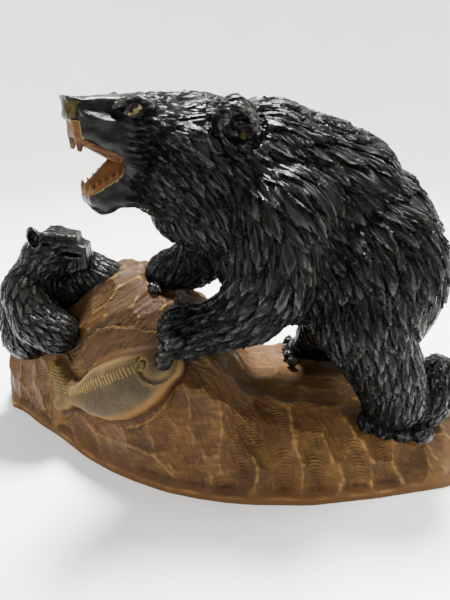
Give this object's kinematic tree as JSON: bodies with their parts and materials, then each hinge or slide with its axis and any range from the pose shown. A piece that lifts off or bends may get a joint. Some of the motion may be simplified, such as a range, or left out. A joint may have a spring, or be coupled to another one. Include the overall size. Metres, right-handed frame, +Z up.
{
  "type": "carved wooden bear figure",
  "caption": "Carved wooden bear standing over a rock, mouth open, a salmon held under a forepaw and a cub climbing the rock in front of her; stands on a flat underside",
  "frame": {"origin": "on the flat underside of the rock, near its middle", "axes": "+X along the carving, away from the bear's head end and the cub; +Y from the side that the head is turned to towards the back; +Z up"},
  "size_m": [0.4799, 0.2008, 0.3187],
  "materials": {
    "black_paint": "gloss black paint over carved wood",
    "stained_wood": "satin brown stain and varnish over carved wood"
  },
  "bodies": {
    "root": {"carved_bear": "black_paint"}
  },
  "joints": []
}
